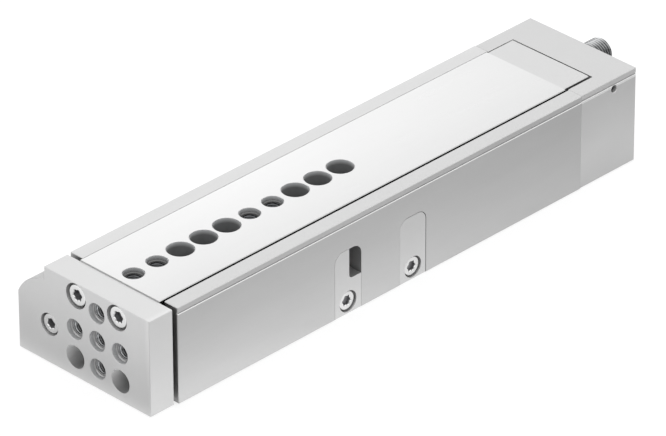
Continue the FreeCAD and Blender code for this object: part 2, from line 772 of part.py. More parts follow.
def make_rod_seal():
    """Ring with a root at the seat and a lip that leans to the rod, open to the pressure."""
    x1 = gland_front_x - wiper_length
    x0 = x1 - rod_seal_length
    near = rod_radius + seal_gap
    profile = [(x0, rod_seal_radius), (x1, rod_seal_radius), (x1, near + 0.3), (x0 + 0.6, near + 0.3),
               (x0, near), (x0, near + 0.5), (x0 + 0.8, near + 0.8), (x0 + 0.8, rod_seal_radius - 0.6),
               (x0, rod_seal_radius - 0.4)]
    return turned(profile, cylinder_y, cylinder_z)


def make_retaining_ring():
    """Internal retaining ring with two ears, opening downwards."""
    x0, x1 = gland_front_x, gland_front_x + ring_thickness
    outer = bore_radius + ring_groove_depth - 0.05
    band = tube(x0, x1, cylinder_y, cylinder_z, outer - ring_band, outer)
    half = math.radians(ring_opening / 2)
    side, low = 2 * outer * math.sin(half), cylinder_z - 2 * outer * math.cos(half)
    wedge = slab([(cylinder_y, cylinder_z), (cylinder_y - side, low), (cylinder_y + side, low)], "x",
                 x0 - 1, x1 + 1)
    ring = band.cut(wedge)
    ear_at = outer - ring_band / 2 - 0.4
    for turn in (-1, 1):
        y = cylinder_y + turn * ear_at * math.sin(half * 1.35)
        z = cylinder_z - ear_at * math.cos(half * 1.35)
        ring = ring.fuse(bar("x", x0, x1, y, z, ring_ear_radius))
    ring = ring.common(bar("x", x0, x1, cylinder_y, cylinder_z, outer))
    for turn in (-1, 1):
        y = cylinder_y + turn * ear_at * math.sin(half * 1.35)
        z = cylinder_z - ear_at * math.cos(half * 1.35)
        ring = ring.cut(bar("x", x0 - 1, x1 + 1, y, z, ring_ear_radius / 2))
    return ring


def save(name, solids):
    shape = solids[0] if len(solids) == 1 else Part.makeCompound(solids)
    for solid in solids:
        if len(solid.Solids) != 1 or not solid.isValid():
            print("CHECK", name, len(solid.Solids), solid.isValid())
    shape.exportStep("parts/" + name + ".step")


def main():
    os.makedirs("parts", exist_ok=True)
    save("housing", [make_housing()])
    save("rear_end_cap", [make_end_cap()])
    save("cap_screws", screw_set(cap_screw_size, cap_screw_length, cap_screw_seats(), behind))
    save("guide_rail_left", [make_rail(-1)])
    save("guide_rail_right", [make_rail(1)])
    save("side_cover_notched", [make_cover(cover_starts[0], True)])
    save("side_cover_plain", [make_cover(cover_starts[1], False)])
    save("cover_screws", screw_set(cover_screw_size, cover_screw_length,
                                   [cover_screw_seat(s) for s in cover_starts], right_way))
    save("stop_sleeve", [make_stop_sleeve()])
    save("stop_buffer", [make_stop_buffer()])
    save("sleeve_grub_screw", [make_grub_screw()])
    save("rod_gland", [make_gland()])
    save("rod_bush", [tube(gland_rear_x, gland_rear_x + bush_length, cylinder_y, cylinder_z,
                           rod_radius + running_gap, bush_radius)])
    save("rod_seal", [make_rod_seal()])
    save("rod_wiper", [tube(gland_front_x - wiper_length, gland_front_x, cylinder_y, cylinder_z,
                            rod_radius + seal_gap, wiper_radius)])
    save("gland_o_ring", [ring_of_round_section(gland_front_x - o_ring_place, cylinder_y, cylinder_z,
                                                bore_radius - o_ring_section, o_ring_section)])
    save("gland_retaining_ring", [make_retaining_ring()])
    save("stroke_spacer", [tube(spacer_rear_x, gland_rear_x, cylinder_y, cylinder_z, spacer_inner,
                                spacer_outer)])
    save("cap_o_ring", [ring_of_round_section(rear_x - cap_ring_section, cylinder_y, cylinder_z,
                                              cap_ring_radius, cap_ring_section)])
    save("slide_table", [make_slide()])
    save("tail_block", [make_tail()])
    save("tail_screws", screw_set(tail_screw_size, tail_screw_length, tail_screw_seats(), behind))
    save("yoke_plate", [make_yoke()])
    save("yoke_screws", screw_set(yoke_screw_size, yoke_screw_length, yoke_screw_seats(), ahead))
    save("rod_screw", screw_set(rod_screw_size, rod_screw_length, [rod_screw_seat()], ahead))
    save("piston_rod", [make_piston_rod()])
    save("piston_front_half", [make_piston_front()])
    save("piston_rear_half", [make_piston_rear()])
    save("piston_seals", make_piston_seals())
    save("piston_guide_ring", [make_piston_guide_ring()])
    save("piston_magnet", [make_piston_magnet()])
    save("cushion_rings", make_cushion_rings())
    save("piston_nut", [make_piston_nut()])
    for name, side in (("left", -1), ("right", 1)):
        save(name + "_ball_cage", [make_cage(side)])
        save(name + "_balls", make_balls(side))


main()
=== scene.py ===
import json
import math

import bpy
import numpy as np
from mathutils import Matrix, Vector


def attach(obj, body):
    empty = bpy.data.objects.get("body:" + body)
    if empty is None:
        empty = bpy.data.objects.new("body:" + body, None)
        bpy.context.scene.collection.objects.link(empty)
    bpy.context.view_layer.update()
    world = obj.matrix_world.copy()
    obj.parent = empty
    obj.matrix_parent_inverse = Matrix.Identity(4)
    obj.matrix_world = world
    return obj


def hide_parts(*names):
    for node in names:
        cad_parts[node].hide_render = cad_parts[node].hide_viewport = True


# A compact slide table in anodised aluminium with a ground steel slide, on a white studio floor.
# +X points to the yoke, +Y to the side with the two inset covers, +Z up. The frame is in metres, and this
# script's own sizes and places are in mm unless a note says metres.

mm = 0.001

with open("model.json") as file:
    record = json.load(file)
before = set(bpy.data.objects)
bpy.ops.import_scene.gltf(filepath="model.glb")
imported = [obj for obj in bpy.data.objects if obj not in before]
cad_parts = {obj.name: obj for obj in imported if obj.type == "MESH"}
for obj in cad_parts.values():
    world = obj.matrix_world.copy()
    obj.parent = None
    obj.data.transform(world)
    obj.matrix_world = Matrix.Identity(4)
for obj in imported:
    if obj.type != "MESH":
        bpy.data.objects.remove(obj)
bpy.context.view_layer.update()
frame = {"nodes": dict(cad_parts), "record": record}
print("frame loaded:", len(frame["nodes"]), "nodes")


# Shader helpers

def hexToLinear(code):
    # sRGB byte to linear light, channel by channel
    channels = [int(code[i:i + 2], 16) / 255 for i in (1, 3, 5)]
    return [c / 12.92 if c <= 0.04045 else ((c + 0.055) / 1.055) ** 2.4 for c in channels] + [1.0]


def addNode(tree, kind, sockets=None, **settings):
    # one node with its settings; sockets takes a value or another node's output
    node = tree.nodes.new(kind)
    for key, value in settings.items():
        setattr(node, key, value)
    for key, value in (sockets or {}).items():
        if isinstance(value, bpy.types.NodeSocket):
            tree.links.new(value, node.inputs[key])
        else:
            node.inputs[key].default_value = value
    return node


def newMaterial(name):
    material = bpy.data.materials.new(name)
    material.use_nodes = True
    tree = material.node_tree
    tree.nodes.clear()
    output = addNode(tree, "ShaderNodeOutputMaterial")
    return material, tree, output


def perMetre(sizes):
    # scale of a pattern whose cells have these sizes in mm along X, Y and Z
    return [1 / (s * mm) for s in sizes]


def facingAlong(tree, axis):
    # 1 on faces that look along the axis, either way, and 0 on faces that run beside it
    normal = addNode(tree, "ShaderNodeNewGeometry").outputs["True Normal"]
    part = addNode(tree, "ShaderNodeSeparateXYZ", {0: normal}).outputs[axis]
    return addNode(tree, "ShaderNodeMath", {0: part}, operation="ABSOLUTE").outputs[0]


def addPaintedLight(tree, place, shown, centre, radii, outside, middle):
    # painted light and shade: a broad patch that makes the colour brighter or darker by where it lies. Centre
    # and radii in mm, then the share of the colour outside it and at its centre
    away = addNode(tree, "ShaderNodeMapping", {
        "Vector": place, "Location": [-c / r for c, r in zip(centre, radii)], "Scale": perMetre(radii),
    })
    patch = addNode(tree, "ShaderNodeTexGradient", {"Vector": away.outputs[0]}, gradient_type="SPHERICAL")
    share = addNode(tree, "ShaderNodeMapRange", {
        "Value": patch.outputs["Fac"], "To Min": outside, "To Max": middle,
    })
    return addNode(tree, "ShaderNodeMix", {
        "Factor": 1.0, "A": shown, "B": share.outputs[0],
    }, data_type="RGBA", blend_type="MULTIPLY").outputs["Result"]


def addPaintedShade(tree, shown, reach, thick, clear, left, axis=None):
    # Painted shade in the hollows, darker where ambient occlusion finds the surface closed in: how far it
    # looks in mm, the openness where it is darkest and where it ends, and the share of the colour left there.
    # With an axis, only faces that look along it take the painted shade.
    openness = addNode(tree, "ShaderNodeAmbientOcclusion", {"Distance": reach * mm}, samples=8)
    shadeFilm = addNode(tree, "ShaderNodeMapRange", {
        "Value": openness.outputs["AO"], "From Min": thick, "From Max": clear, "To Min": left, "To Max": 1.0,
    })
    if axis:
        shadeFilm = addNode(tree, "ShaderNodeMix", {
            "Factor": facingAlong(tree, axis), "A": 1.0, "B": shadeFilm.outputs[0],
        }, data_type="FLOAT")
    return addNode(tree, "ShaderNodeMix", {
        "Factor": 1.0, "A": shown, "B": shadeFilm.outputs[0],
    }, data_type="RGBA", blend_type="MULTIPLY").outputs["Result"]


def addPaintedHighlight(tree, place, shown, middle, half, colour):
    # painted highlight along the groove's lower lip: a pale band on the long sides, at this height in mm and
    # this far above and below it, in this colour
    height = addNode(tree, "ShaderNodeSeparateXYZ", {0: place}).outputs["Z"]
    band = addNode(tree, "ShaderNodeMath", {0: height, 1: middle * mm, 2: half * mm}, operation="COMPARE")
    onSides = addNode(tree, "ShaderNodeMath", {
        0: band.outputs[0], 1: facingAlong(tree, "X"),
    }, operation="SUBTRACT", use_clamp=True)
    return addNode(tree, "ShaderNodeMix", {
        "Factor": onSides.outputs[0], "A": shown, "B": hexToLinear(colour),
    }, data_type="RGBA").outputs["Result"]


# what a finish has where it doesn't say otherwise
usualFinish = {"metallic": 1.0, "roughnessSpread": 0.06, "paintedShade": []}


def makeFinish(name, finish):
    # Two patterns on Object coordinates: a fine grain for bump and roughness, and a broad cloud that shifts
    # colour and roughness a little. Painted light and shade, painted shade in the hollows and a painted
    # highlight lie over the colour where a finish has them.
    finish = {**usualFinish, **finish}
    material, tree, output = newMaterial(name)
    place = addNode(tree, "ShaderNodeTexCoord").outputs["Object"]
    grainPlace = addNode(tree, "ShaderNodeMapping", {"Vector": place, "Scale": perMetre(finish["grain"])})
    grain = addNode(tree, "ShaderNodeTexNoise", {
        "Vector": grainPlace.outputs[0], "Scale": 1.0, "Detail": 3.0, "Roughness": 0.6,
    }).outputs["Fac"]
    cloudPlace = addNode(tree, "ShaderNodeMapping", {"Vector": place, "Scale": perMetre(finish["cloud"])})
    cloud = addNode(tree, "ShaderNodeTexNoise", {
        "Vector": cloudPlace.outputs[0], "Scale": 1.0, "Detail": 2.0,
    }).outputs["Fac"]
    # most of a noise lies between 0.3 and 0.7, which the spreads are laid over
    spread = finish["colourSpread"]
    tint = addNode(tree, "ShaderNodeMapRange", {
        "Value": cloud, "From Min": 0.3, "From Max": 0.7, "To Min": 1 - spread, "To Max": 1 + spread,
    })
    shown = addNode(tree, "ShaderNodeMix", {
        "Factor": 1.0, "A": hexToLinear(finish["colour"]), "B": tint.outputs[0],
    }, data_type="RGBA", blend_type="MULTIPLY").outputs["Result"]
    # painted light and shade, then painted shade in the hollows, then a painted highlight
    if "paintedLight" in finish:
        shown = addPaintedLight(tree, place, shown, *finish["paintedLight"])
    for shadeFilm in finish["paintedShade"]:
        shown = addPaintedShade(tree, shown, *shadeFilm)
    if "paintedHighlight" in finish:
        shown = addPaintedHighlight(tree, place, shown, *finish["paintedHighlight"])
    both = addNode(tree, "ShaderNodeMath", {0: grain, 1: cloud}, operation="ADD")
    rough, spread = finish["roughness"], finish["roughnessSpread"]
    roughness = addNode(tree, "ShaderNodeMapRange", {
        "Value": both.outputs[0], "From Min": 0.7, "From Max": 1.3, "To Min": rough - spread,
        "To Max": rough + spread,
    })
    bump = addNode(tree, "ShaderNodeBump", {
        "Height": grain, "Strength": 1.0, "Distance": finish["relief"] * mm,
    })
    shader = addNode(tree, "ShaderNodeBsdfPrincipled", {
        "Base Color": shown, "Roughness": roughness.outputs[0], "Normal": bump.outputs[0],
        "Metallic": finish["metallic"],
    })
    tree.links.new(shader.outputs[0], output.inputs["Surface"])
    return material


# Finishes. grain and cloud are sizes in mm along X, Y and Z, and relief is the height of the grain. The real
# marks of blasting, grinding and turning are too fine to show, so they are drawn coarser, 0.12 to 0.5 mm
# apart. The entries for painted shade in the hollows, for a patch of painted light and shade, and for a
# painted highlight hold what the three functions that lay these over the colour take.
finishes = {
    # extruded aluminium, milled, etched and clear anodised: pale satin grey, faint lines along the profile.
    # Painted shade in the hollows and, stronger, on the end faces where the parts beside them close them in;
    # painted light rising towards the left side; a painted highlight along the groove's lower lip
    "anodisedHousing": {
        "colour": "#d0d0d0", "metallic": 0.85, "roughness": 0.40, "roughnessSpread": 0.06, "relief": 0.0022,
        "colourSpread": 0.035, "grain": (14, 0.25, 0.25), "cloud": (60, 16, 16),
        "paintedShade": [(2.0, 0.2, 0.5, 0.12), (3.0, 0.5, 0.97, 0.45, "X")],
        "paintedLight": ((0, -40, 30), (1000, 60, 1000), 0.98, 1.09), "paintedHighlight": (31.98, 0.14, "#ebebeb"),
    },
    # aluminium block, milled all round and clear anodised: the same grey with an even grain and no lines.
    # Painted shade in the hollows, painted light strongest at mid height of the sides, a little painted shade
    # at the top, and a painted highlight along the groove's lower lip
    "anodisedCap": {
        "colour": "#d1d1d1", "metallic": 0.5, "roughness": 0.42, "roughnessSpread": 0.04, "relief": 0.0012,
        "colourSpread": 0.02, "grain": (0.5, 0.5, 0.4), "cloud": (18, 18, 18),
        "paintedShade": [(2.0, 0.2, 0.5, 0.12)],
        "paintedLight": ((0, 0, 12), (1000, 1000, 22.5), 0.96, 1.09), "paintedHighlight": (31.7, 0.42, "#ebebeb"),
    },
    # aluminium plate, bead blasted and clear anodised: an even, soft, very fine grain, with painted light on
    # the side that faces +Y
    "anodisedYoke": {
        "colour": "#d7d7d7", "metallic": 0.65, "roughness": 0.44, "roughnessSpread": 0.04, "relief": 0.0016,
        "colourSpread": 0.02, "grain": (0.3, 0.3, 0.3), "cloud": (14, 14, 14),
        "paintedLight": ((97, 25, 34), (1000, 4, 40), 1.0, 1.2),
    },
    # small aluminium plates, milled and anodised: a shade paler than the housing they sit in
    "anodisedCover": {
        "colour": "#dadada", "metallic": 0.85, "roughness": 0.42, "roughnessSpread": 0.04, "relief": 0.0012,
        "colourSpread": 0.02, "grain": (0.3, 0.3, 0.3), "cloud": (10, 10, 10),
    },
    # hardened steel, ground along its length: bright, with very fine long lines. Painted light over the top,
    # strongest towards the front left, and painted shade on the side faces where they stand in the gaps
    "groundSlide": {
        "colour": "#dbdbdb", "roughness": 0.32, "roughnessSpread": 0.05, "relief": 0.0012,
        "colourSpread": 0.02, "grain": (22, 0.16, 0.16), "cloud": (70, 9, 9),
        "paintedShade": [(2.0, 0.8, 0.97, 0.03, "Y")], "paintedLight": ((20, -20, 35), (200, 50, 1000), 0.925, 1.13),
    },
    # steel block, milled and nickel plated: duller than the slide, without its lines
    "platedTail": {
        "colour": "#d2d2d2", "roughness": 0.40, "roughnessSpread": 0.04, "relief": 0.001,
        "colourSpread": 0.02, "grain": (0.4, 0.4, 0.4), "cloud": (12, 12, 12),
    },
    # hardened rail steel, ground: darker grey than the slide, with the same long lines
    "groundRail": {
        "colour": "#8f9194", "roughness": 0.3, "relief": 0.001,
        "colourSpread": 0.04, "grain": (20, 0.15, 0.15), "cloud": (40, 6, 6),
    },
    # bearing steel balls, lapped: mirror bright
    "lappedBall": {
        "colour": "#c8cacc", "roughness": 0.09, "roughnessSpread": 0.02, "relief": 0.0002,
        "colourSpread": 0.01, "grain": (0.3, 0.3, 0.3), "cloud": (4, 4, 4),
    },
    # brass-coloured steel strip, stamped: a dull pale yellow
    "stampedCage": {
        "colour": "#b3a682", "roughness": 0.35, "relief": 0.001,
        "colourSpread": 0.04, "grain": (3, 0.2, 0.2), "cloud": (8, 8, 3),
    },
    # stainless steel screws, cold formed and turned: bright heads
    "stainlessScrew": {
        "colour": "#e4e4e4", "roughness": 0.25, "relief": 0.0012,
        "colourSpread": 0.05, "grain": (0.25, 0.25, 0.25), "cloud": (2, 2, 2),
    },
    # the punched walls of a screw's socket: rougher, coloured darker than the head, which paints shade into
    # the socket, with more painted shade deeper in
    "punchedSocket": {
        "colour": "#8c8c8e", "metallic": 0.5, "roughness": 0.4, "relief": 0.002,
        "colourSpread": 0.15, "grain": (0.2, 0.2, 0.2), "cloud": (1, 1, 1),
        "paintedShade": [(1.5, 0.1, 0.55, 0.15)],
    },
    # threads tapped in steel: shiny cut metal, coloured far darker than the slide's steel, which paints the
    # shade inside the holes, and darker still in the roots with painted shade
    "tappedThread": {
        "colour": "#58595b", "roughness": 0.18, "relief": 0.001,
        "colourSpread": 0.25, "grain": (0.2, 0.2, 0.2), "cloud": (1.5, 1.5, 1.5),
        "paintedShade": [(3.0, 0.05, 0.4, 0.08)],
    },
    # threads tapped in aluminium: paler, with a painted highlight in the first turns, painted shade deeper
    # in, and more painted shade on the walls that face up and down
    "tappedAluminium": {
        "colour": "#d8dadc", "metallic": 0.6, "roughness": 0.25, "relief": 0.001,
        "colourSpread": 0.15, "grain": (0.2, 0.2, 0.2), "cloud": (1.5, 1.5, 1.5),
        "paintedShade": [(8.0, 0.05, 0.55, 0.1), (8.0, 0.6, 0.97, 0.03, "Z")],
        "paintedLight": ((100.2, 0, 17.4), (2.0, 1000, 1000), 0.65, 1.8),
    },
    # bores through hardened steel, drilled before hardening: dull scale inside, with painted light near the
    # rim and painted shade further down
    "scaledBore": {
        "colour": "#a8a9aa", "metallic": 0.2, "roughness": 0.5, "relief": 0.003,
        "colourSpread": 0.06, "grain": (0.3, 0.3, 0.3), "cloud": (4, 4, 4),
        "paintedLight": ((0, 0, 35.6), (1000, 1000, 2.4), 0.53, 2.5),
    },
    # centring bores in aluminium, reamed and anodised: dull satin, with painted shade on the walls that face
    # up and down, where the hollow is closed in
    "reamedBore": {
        "colour": "#d4d5d6", "metallic": 0.1, "roughness": 0.5, "relief": 0.003,
        "colourSpread": 0.06, "grain": (0.3, 0.3, 0.3), "cloud": (4, 4, 4),
        "paintedShade": [(3.0, 0.6, 0.97, 0.45, "Z")],
    },
    # the yoke's two through bores, reamed: painted light towards the top, painted shade towards the bottom,
    # and more painted shade on the walls that face up and down
    "yokeBoreWithPaintedLight": {
        "colour": "#dcdcdc", "metallic": 0.1, "roughness": 0.45, "relief": 0.003,
        "colourSpread": 0.06, "grain": (0.3, 0.3, 0.3), "cloud": (4, 4, 4),
        "paintedShade": [(3.0, 0.6, 0.97, 0.6, "Z")], "paintedLight": ((0, 0, 11.0), (1000, 1000, 8.0), 0.22, 1.9),
    },
    # steps under the yoke's centring recesses, spot faced: fresh metal, shinier than the yoke, coloured
    # darker than it, which paints the shade at the foot of the recess
    "spotFace": {
        "colour": "#b2b2b2", "metallic": 0.7, "roughness": 0.35, "relief": 0.0015,
        "colourSpread": 0.05, "grain": (0.25, 0.25, 0.25), "cloud": (2, 2, 2),
    },
    # the same steps in the slide's hardened steel: coloured much darker than the slide and than the steps in
    # aluminium, which paints the shade at the foot of the recess
    "slideStepPaintedShade": {
        "colour": "#6c6c6c", "metallic": 0.8, "roughness": 0.3, "relief": 0.0015,
        "colourSpread": 0.05, "grain": (0.25, 0.25, 0.25), "cloud": (2, 2, 2),
    },
    # steel sleeve, threaded and nickel plated: bright crests with a painted highlight along the top, dark
    # roots with painted shade
    "nickelSleeve": {
        "colour": "#bebfc0", "roughness": 0.22, "relief": 0.001,
        "colourSpread": 0.05, "grain": (0.3, 0.3, 0.3), "cloud": (3, 3, 3),
        "paintedShade": [(1.0, 0.4, 0.95, 0.22)], "paintedLight": ((-120, -1.5, 32.6), (1000, 3.4, 1000), 0.8, 1.9),
    },
    # hard chrome on the piston rod, polished: a clear cold mirror
    "chromedRod": {
        "colour": "#d0d2d5", "roughness": 0.12, "roughnessSpread": 0.02, "relief": 0.0003,
        "colourSpread": 0.01, "grain": (0.3, 0.3, 0.3), "cloud": (20, 4, 4),
    },
    # turned aluminium: fine rings round the axis
    "turnedAluminium": {
        "colour": "#c2c3c4", "roughness": 0.32, "relief": 0.0015,
        "colourSpread": 0.03, "grain": (0.12, 3, 3), "cloud": (5, 5, 5),
    },
    # sintered bronze: warm, dull and porous
    "sinteredBronze": {
        "colour": "#a07a4c", "roughness": 0.5, "relief": 0.004,
        "colourSpread": 0.06, "grain": (0.2, 0.2, 0.2), "cloud": (4, 4, 4),
    },
    # spring steel, hardened and blued: dark blue-grey satin
    "springSteel": {
        "colour": "#4a4c50", "roughness": 0.34, "relief": 0.001,
        "colourSpread": 0.05, "grain": (0.2, 0.2, 0.2), "cloud": (3, 3, 3),
    },
    # pressed ferrite: nearly black, matte
    "pressedFerrite": {
        "colour": "#242427", "metallic": 0.0, "roughness": 0.6, "relief": 0.004,
        "colourSpread": 0.08, "grain": (0.15, 0.15, 0.15), "cloud": (3, 3, 3),
    },
    # nitrile rubber, moulded: black with a faint sheen
    "nitrileRubber": {
        "colour": "#1b1b1c", "metallic": 0.0, "roughness": 0.55, "relief": 0.002,
        "colourSpread": 0.1, "grain": (0.2, 0.2, 0.2), "cloud": (3, 3, 3),
    },
    # polyurethane seals, moulded: dark green, smooth
    "polyurethaneSeal": {
        "colour": "#3c5a44", "metallic": 0.0, "roughness": 0.42, "relief": 0.001,
        "colourSpread": 0.06, "grain": (0.3, 0.3, 0.3), "cloud": (3, 3, 3),
    },
    # polyurethane buffers, cast: honey yellow, smooth
    "polyurethaneBuffer": {
        "colour": "#c4a15a", "metallic": 0.0, "roughness": 0.38, "relief": 0.001,
        "colourSpread": 0.06, "grain": (0.3, 0.3, 0.3), "cloud": (3, 3, 3),
    },
    # filled PTFE strip, cut: cream, waxy
    "filledPtfe": {
        "colour": "#d8d1bf", "metallic": 0.0, "roughness": 0.45, "relief": 0.001,
        "colourSpread": 0.05, "grain": (0.3, 0.3, 0.3), "cloud": (3, 3, 3),
    },
}

nodeFinish = {
    "housing": "anodisedHousing",
    "rear_end_cap": "anodisedCap",
    "yoke_plate": "anodisedYoke",
    "side_cover_notched": "anodisedCover",
    "side_cover_plain": "anodisedCover",
    "slide_table": "groundSlide",
    "tail_block": "platedTail",
    "guide_rail_left": "groundRail",
    "guide_rail_right": "groundRail",
    "left_balls": "lappedBall",
    "right_balls": "lappedBall",
    "left_ball_cage": "stampedCage",
    "right_ball_cage": "stampedCage",
    "cap_screws": "stainlessScrew",
    "cover_screws": "stainlessScrew",
    "tail_screws": "stainlessScrew",
    "yoke_screws": "stainlessScrew",
    "rod_screw": "stainlessScrew",
    "sleeve_grub_screw": "springSteel",
    "piston_nut": "stainlessScrew",
    "stop_sleeve": "nickelSleeve",
    "stop_buffer": "polyurethaneBuffer",
    "cushion_rings": "polyurethaneBuffer",
    "piston_rod": "chromedRod",
    "piston_front_half": "turnedAluminium",
    "piston_rear_half": "turnedAluminium",
    "rod_gland": "turnedAluminium",
    "stroke_spacer": "turnedAluminium",
    "rod_bush": "sinteredBronze",
    "gland_retaining_ring": "springSteel",
    "piston_magnet": "pressedFerrite",
    "rod_wiper": "nitrileRubber",
    "gland_o_ring": "nitrileRubber",
    "cap_o_ring": "nitrileRubber",
    "rod_seal": "polyurethaneSeal",
    "piston_seals": "polyurethaneSeal",
    "piston_guide_ring": "filledPtfe",
}

materials = {name: makeFinish(name, finish) for name, finish in finishes.items()}
for nodeName, finishName in nodeFinish.items():
    mesh = frame["nodes"][nodeName].data
    mesh.materials.clear()
    mesh.materials.append(materials[finishName])
print("finishes made:", len(materials))


# Mesh helpers

def buildMesh(name, vertices, faces, material):
    # vertices (n, 3) in metres; faces is a list of (m, 3) or (m, 4) index arrays
    mesh = bpy.data.meshes.new(name)
    mesh.vertices.add(len(vertices))
    mesh.vertices.foreach_set("co", np.ascontiguousarray(vertices, dtype=np.float32).ravel())
    loops = np.concatenate([f.ravel() for f in faces]).astype(np.int32)
    sizes = np.concatenate([np.full(len(f), f.shape[1]) for f in faces]).astype(np.int32)
    starts = np.concatenate([[0], np.cumsum(sizes)[:-1]]).astype(np.int32)
    mesh.loops.add(len(loops))
    mesh.loops.foreach_set("vertex_index", loops)
    mesh.polygons.add(len(sizes))
    mesh.polygons.foreach_set("loop_start", starts)
    mesh.polygons.foreach_set("loop_total", sizes)
    mesh.update(calc_edges=True)
    mesh.validate()
    mesh.materials.append(material)
    piece = bpy.data.objects.new(name, mesh)
    bpy.context.scene.collection.objects.link(piece)
    return piece


def ringFaces(rows, columns, closed):
    # quads between neighbouring rings; closed joins the last ring to the first
    i = np.arange(rows if closed else rows - 1)[:, None]
    j = np.arange(columns)[None, :]
    after, beside = (i + 1) % rows, (j + 1) % columns
    corners = [i * columns + j, i * columns + beside, after * columns + beside, after * columns + j]
    return np.stack([np.broadcast_to(c, (len(i), columns)) for c in corners], axis=-1).reshape(-1, 4)


def poleFaces(ring, columns, pole, flip):
    # fan from a pole's vertex to the ring whose first vertex has the number ring
    j = np.arange(columns)
    a, b = ring + j, ring + (j + 1) % columns
    return np.stack([np.full(columns, pole), b, a] if flip else [np.full(columns, pole), a, b], axis=-1)


def roundTurn(columns):
    # angles once round an axis
    return np.linspace(0, 2 * math.pi, columns, endpoint=False)


def ringsFrom(profile, angle):
    # one ring for each (along, radius) of a profile; a radius is one number, or one for each angle
    along = np.stack([a + 0 * angle for a, r in profile])
    radius = np.stack([r + 0 * angle for a, r in profile])
    return along, radius, np.broadcast_to(angle, radius.shape)


def placeAt(rings, seat, out):
    # points of rings (along, radius, angle) round the axis that goes out through seat:
    # seat + along * out + radius * (cos angle * first + sin angle * second), where first x second = out
    along, radius, angle = rings
    axis = np.array(out, dtype=float)
    first = np.roll(axis, 1)
    second = np.cross(axis, first)
    across = radius[..., None] * (np.cos(angle)[..., None] * first + np.sin(angle)[..., None] * second)
    return (np.array(seat) + along[..., None] * axis + across) * mm


def solidOfRevolution(rings, seat, out):
    # closed surface from rings of equal column count, with a pole on the axis at both ends
    along, radius, angle = rings
    rows, columns = radius.shape
    points = placeAt(rings, seat, out).reshape(-1, 3)
    axis = np.array(out, dtype=float)
    poles = np.stack([np.array(seat) + along[0, 0] * axis, np.array(seat) + along[-1, 0] * axis]) * mm
    count = rows * columns
    faces = [ringFaces(rows, columns, False), poleFaces(0, columns, count, True),
             poleFaces((rows - 1) * columns, columns, count + 1, False)]
    return np.concatenate([points, poles]), faces


def joined(parts):
    # several (vertices, faces) as one
    vertices, quads, triangles, offset = [], [], [], 0
    for points, faces in parts:
        vertices.append(points)
        for f in faces:
            (quads if f.shape[1] == 4 else triangles).append(f + offset)
        offset += len(points)
    faces = [np.concatenate(group) for group in (quads, triangles) if group]
    return np.concatenate(vertices), faces


def shadeSmooth(piece, degrees):
    # smooth over curved stretches, sharp where faces meet at more than this angle
    piece.data.polygons.foreach_set("use_smooth", np.ones(len(piece.data.polygons), dtype=bool))
    piece.data.set_sharp_from_angle(angle=math.radians(degrees))


def cadReach(nodeName):
    # lower and upper corner of a CAD node in mm, rounded because its mesh has single precision
    mesh = frame["nodes"][nodeName].data
    points = np.empty(len(mesh.vertices) * 3, dtype=np.float32)
    mesh.vertices.foreach_get("co", points)
    points = points.reshape(-1, 3).astype(float) / mm
    return points.min(axis=0).round(2), points.max(axis=0).round(2)


# Faces that screws and holes start from, as the frame has them, and the cylinder's axis
yokeFront = cadReach("yoke_plate")[1][0]
slideTop = cadReach("slide_table")[1][2]
tailBack = cadReach("tail_block")[0][0]
capBack = cadReach("rear_end_cap")[0][0]
baseBottom = cadReach("housing")[0][2]
bulgeSide = cadReach("housing")[0][1]
coverSide = cadReach("housing")[1][1]
cylinderY, cylinderZ = -21.35, 14.3
seatDepth = {"yoke": 4.6, "rear": 3.6, "side": 2.8}  # from these faces down to the seats of the screw heads


# Screws with a six-lobe socket, each in place of its plain CAD twin

screwForm = {
    "columns": 96,
    "tipShare": 0.55,  # flat of the tip, of the shank's radius
    "tipLead": 0.3,  # chamfer at the tip
    "neck": 0.02,  # widening of the shank where it meets the head
    "headFoot": 0.15,  # chamfer of the head's underside
    "headRound": 0.28,  # rounding of the head's rim
    "roundSteps": 6,
    "socketShare": 0.5,  # depth of the socket, of the head's height
    "socketLead": 0.25,  # lead-in round the socket
    "valley": 0.82,  # inner radius between the lobes, of the outer one
    "lobePower": 1.1,  # above 1 the lobes are a little wider than the valleys
    "darkFrom": 0.2,  # the punched finish starts this far above the seat,
    "leadKept": 0.6,  # ends under this share of the lead-in
    "rimKept": 1.0,  # and leaves this much of the head's radius
    "sharpAngle": 32,
}
# out is the way the head looks; shank and head are radii, height is the head's, across is the socket's width
# over its tips, turn is the socket's angle, and seats are the places under the heads
screwSets = {
    "yoke_screws": {
        "body": "slide", "out": (1, 0, 0), "shank": 2.0, "length": 16.0, "head": 3.6, "height": 4.0,
        "across": 3.95, "turn": 0.2,
        "seats": [(yokeFront - seatDepth["yoke"], y, 29.8) for y in (-9.05, 9.05)],
    },
    "rod_screw": {
        "body": "slide", "out": (1, 0, 0), "shank": 2.0, "length": 18.0, "head": 3.3, "height": 4.0,
        "across": 3.6, "turn": 0.35, "seats": [(yokeFront - seatDepth["yoke"], cylinderY, cylinderZ)],
    },
    "tail_screws": {
        "body": "slide", "out": (-1, 0, 0), "shank": 1.5, "length": 16.0, "head": 2.75, "height": 3.0,
        "across": 2.8, "turn": 0.1,
        "seats": [(tailBack + seatDepth["rear"], y, 30.2) for y in (-10.0, 10.0)],
    },
    "cap_screws": {
        "body": "base", "out": (-1, 0, 0), "shank": 1.5, "length": 30.0, "head": 2.75, "height": 3.0,
        "across": 2.8, "turn": 0.5,
        "seats": [(capBack + seatDepth["rear"], y, z)
                  for y, z in ((17.5, 5.5), (17.5, 18.6), (-29.48, 22.43), (-30.7, 4.7))],
    },
    "cover_screws": {
        "body": "base", "out": (0, 1, 0), "shank": 2.0, "length": 8.0, "head": 3.25, "height": 2.2,
        "across": 3.6, "turn": 0.4,
        "seats": [(x, coverSide - seatDepth["side"], 4.46) for x in (16.475, -12.625)],
    },
}


